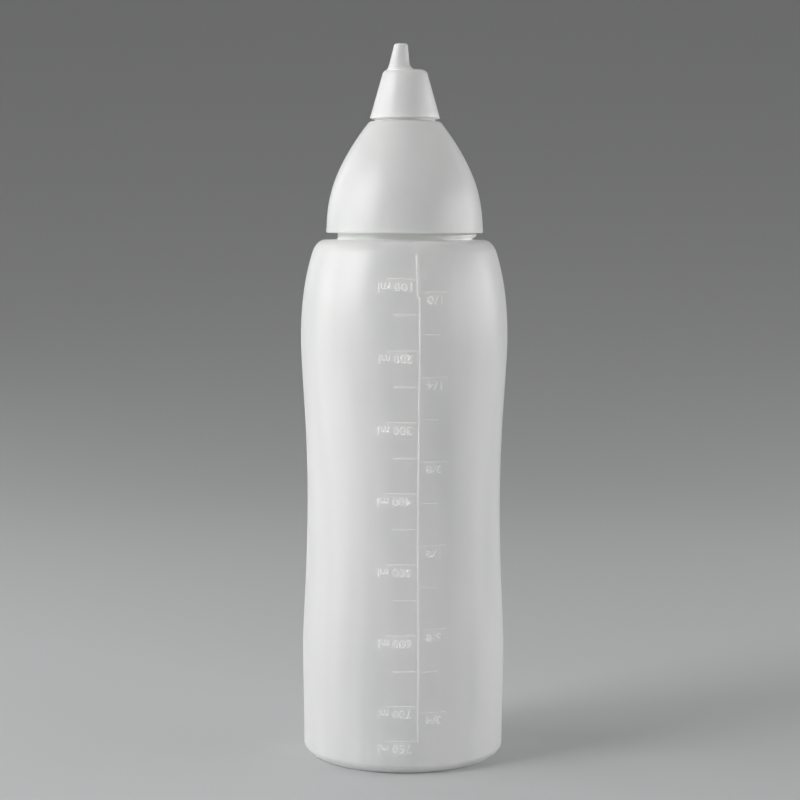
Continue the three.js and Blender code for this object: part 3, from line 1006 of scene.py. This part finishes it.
lug_low = HINGE_HEIGHT + HINGE_GAP
notch = block(
    (-HINGE_HALF - NOTCH_GAP, 0, CAP_LOW - CUT_CLEAR),
    (HINGE_HALF + NOTCH_GAP, CAP_RADIUS + CUT_CLEAR, LUG_TOP + NOTCH_GAP),
    NOTCH_GAP / 3,
)
cap_lug = block(
    (-HINGE_HALF, CAP_RADIUS - CAP_WALL, lug_low),
    (HINGE_HALF, HINGE_REACH + LUG_OVERHANG, lug_low + CAP_LUG_THICK),
    LUG_EDGE,
)
cap_shape = combine(turn(cup_outline), thumb_tab(), "UNION")
cap_shape = combine(cap_shape, notch, "DIFFERENCE")
cap_shape = combine(cap_shape, cap_lug, "UNION")
dress("flip_cap_shell", place(cap_shape, ON_LID), "cap", "natural_pp", moulded_pp, "flip_cap")

# %% [markdown]
# The hinge strip leaves the ring's lug level, turns up at the axis and ends in the cap's lug. On the real
# cap it bends when the cap opens. Here it rides on no body and keeps the shape it has with the cap shut.

# %% The hinge strip
STRIP_THICK = 0.45
STRIP_HALF = HINGE_HALF - 0.2
STRIP_ROOT = 0.35  # how far its ends reach into the lugs
STRIP_CORNER = 0.1
STRIP_STEPS = 18


def hinge_strip():
    """A strip along a bent line through the hinge's axis, from one lug to the other."""
    reach = HINGE_GAP + STRIP_ROOT
    line = bend((-reach, 0), (-STRIP_CORNER, 0), (0, STRIP_CORNER), (0, reach), STRIP_STEPS)
    side = inset(line, STRIP_THICK / 2) + inset(line, -STRIP_THICK / 2)[::-1]
    bm = bmesh.new()
    verts = [bm.verts.new((-STRIP_HALF, HINGE_REACH + y, HINGE_HEIGHT + z)) for y, z in side]
    made = bmesh.ops.extrude_face_region(bm, geom=[bm.faces.new(verts)])["geom"]
    moved = [item for item in made if isinstance(item, bmesh.types.BMVert)]
    bmesh.ops.translate(bm, verts=moved, vec=(2 * STRIP_HALF, 0, 0))
    bmesh.ops.recalc_face_normals(bm, faces=bm.faces[:])
    return place(bm, ON_LID @ Matrix.Scale(MM, 4))


strip = dress("hinge_strip", hinge_strip(), None, "natural_pp", moulded_pp, "living_hinge")
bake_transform(strip)

# %% [markdown]
# ## The studio
#
# The bottle stands in a wide shallow dish of pale grey, flat in the middle and rising smoothly all round,
# so that no horizon shows from any side.

# %% Floor and backdrop
DISH_FLAT, DISH_RADIUS, DISH_RISE, DISH_HEIGHT, DISH_THICK = 700, 2400, 1300, 1700, 10
DISH_STEPS = 24

backdrop = bpy.data.materials.new("pale_grey_backdrop")
backdrop.use_nodes = True
paper = backdrop.node_tree.nodes["Principled BSDF"]
paper.inputs["Base Color"].default_value = linear("#d6d7d8")
paper.inputs["Roughness"].default_value = 0.9
paper.inputs["Specular IOR Level"].default_value = 0.2

dish_outline = run(
    [(0, 0)],
    corner((DISH_FLAT, 0), (DISH_RADIUS, DISH_RISE), True, DISH_STEPS),
    [(DISH_RADIUS, DISH_HEIGHT), (DISH_RADIUS + DISH_THICK, DISH_HEIGHT)],
    [(DISH_RADIUS + DISH_THICK, -DISH_THICK), (0, -DISH_THICK)],
)
dish = to_object("studio_dish", turn(dish_outline))
dish.data.materials.append(backdrop)


# %% [markdown]
# The key light is a large softbox on the left, with a smaller one above it for the shine on the lid's
# shoulder. On the right a wider, dimmer one fills the shadow side. Hardly any light comes from the front,
# so the middle of the bottle stays darker and looks round. Two weak lights behind lift its edges off the
# backdrop, and one overhead lights the floor. All of them hang clear of the floor, because a light whose
# lower edge touches it draws a hard line there.

# %% Lights
def softbox(name, azimuth, elevation, distance, width, height, power):
    """An area light that looks at the middle of the bottle. Azimuth 0 is the front, 90 the right."""
    data = bpy.data.lights.new(name, "AREA")
    data.shape = "RECTANGLE"
    data.size, data.size_y = width, height
    data.energy = power
    light = bpy.data.objects.new(name, data)
    around, above = radians(azimuth), radians(elevation)
    away = Vector((sin(around) * cos(above), -cos(around) * cos(above), sin(above)))
    light.location = away * distance + Vector((0, 0, LIP / 2 * MM))
    light.rotation_euler = away.to_track_quat("Z", "Y").to_euler()
    bpy.context.scene.collection.objects.link(light)


softbox("key_left", azimuth=-77, elevation=23, distance=1.0, width=1.1, height=0.66, power=5.1)
softbox("key_high", azimuth=-60, elevation=32, distance=1.0, width=0.35, height=0.6, power=2.2)
softbox("fill_right", azimuth=86, elevation=13, distance=1.0, width=1.4, height=0.4, power=4.6)
softbox("rim_left", azimuth=-135, elevation=20, distance=1.1, width=0.3, height=0.5, power=0.6)
softbox("rim_right", azimuth=135, elevation=20, distance=1.1, width=0.3, height=0.5, power=0.2)
softbox("top", azimuth=180, elevation=75, distance=1.2, width=0.9, height=0.9, power=1.5)

world = bpy.data.worlds.new("studio")
world.use_nodes = True
world.node_tree.nodes["Background"].inputs["Color"].default_value = linear("#eceae8")
world.node_tree.nodes["Background"].inputs["Strength"].default_value = 0.14
bpy.context.scene.world = world
bpy.context.scene.view_settings.view_transform = "Standard"

# %% [markdown]
# In the gaps at the neck and under the cap light is thrown from wall to wall many times, and each wall is
# pale enough to send most of it on. The usual limit of four bounces would leave them black, while on real
# milky plastic they are almost as light as the rest.

# %% More bounces for light in the gaps
bpy.context.scene.cycles.diffuse_bounces = 16
bpy.context.scene.cycles.max_bounces = 24
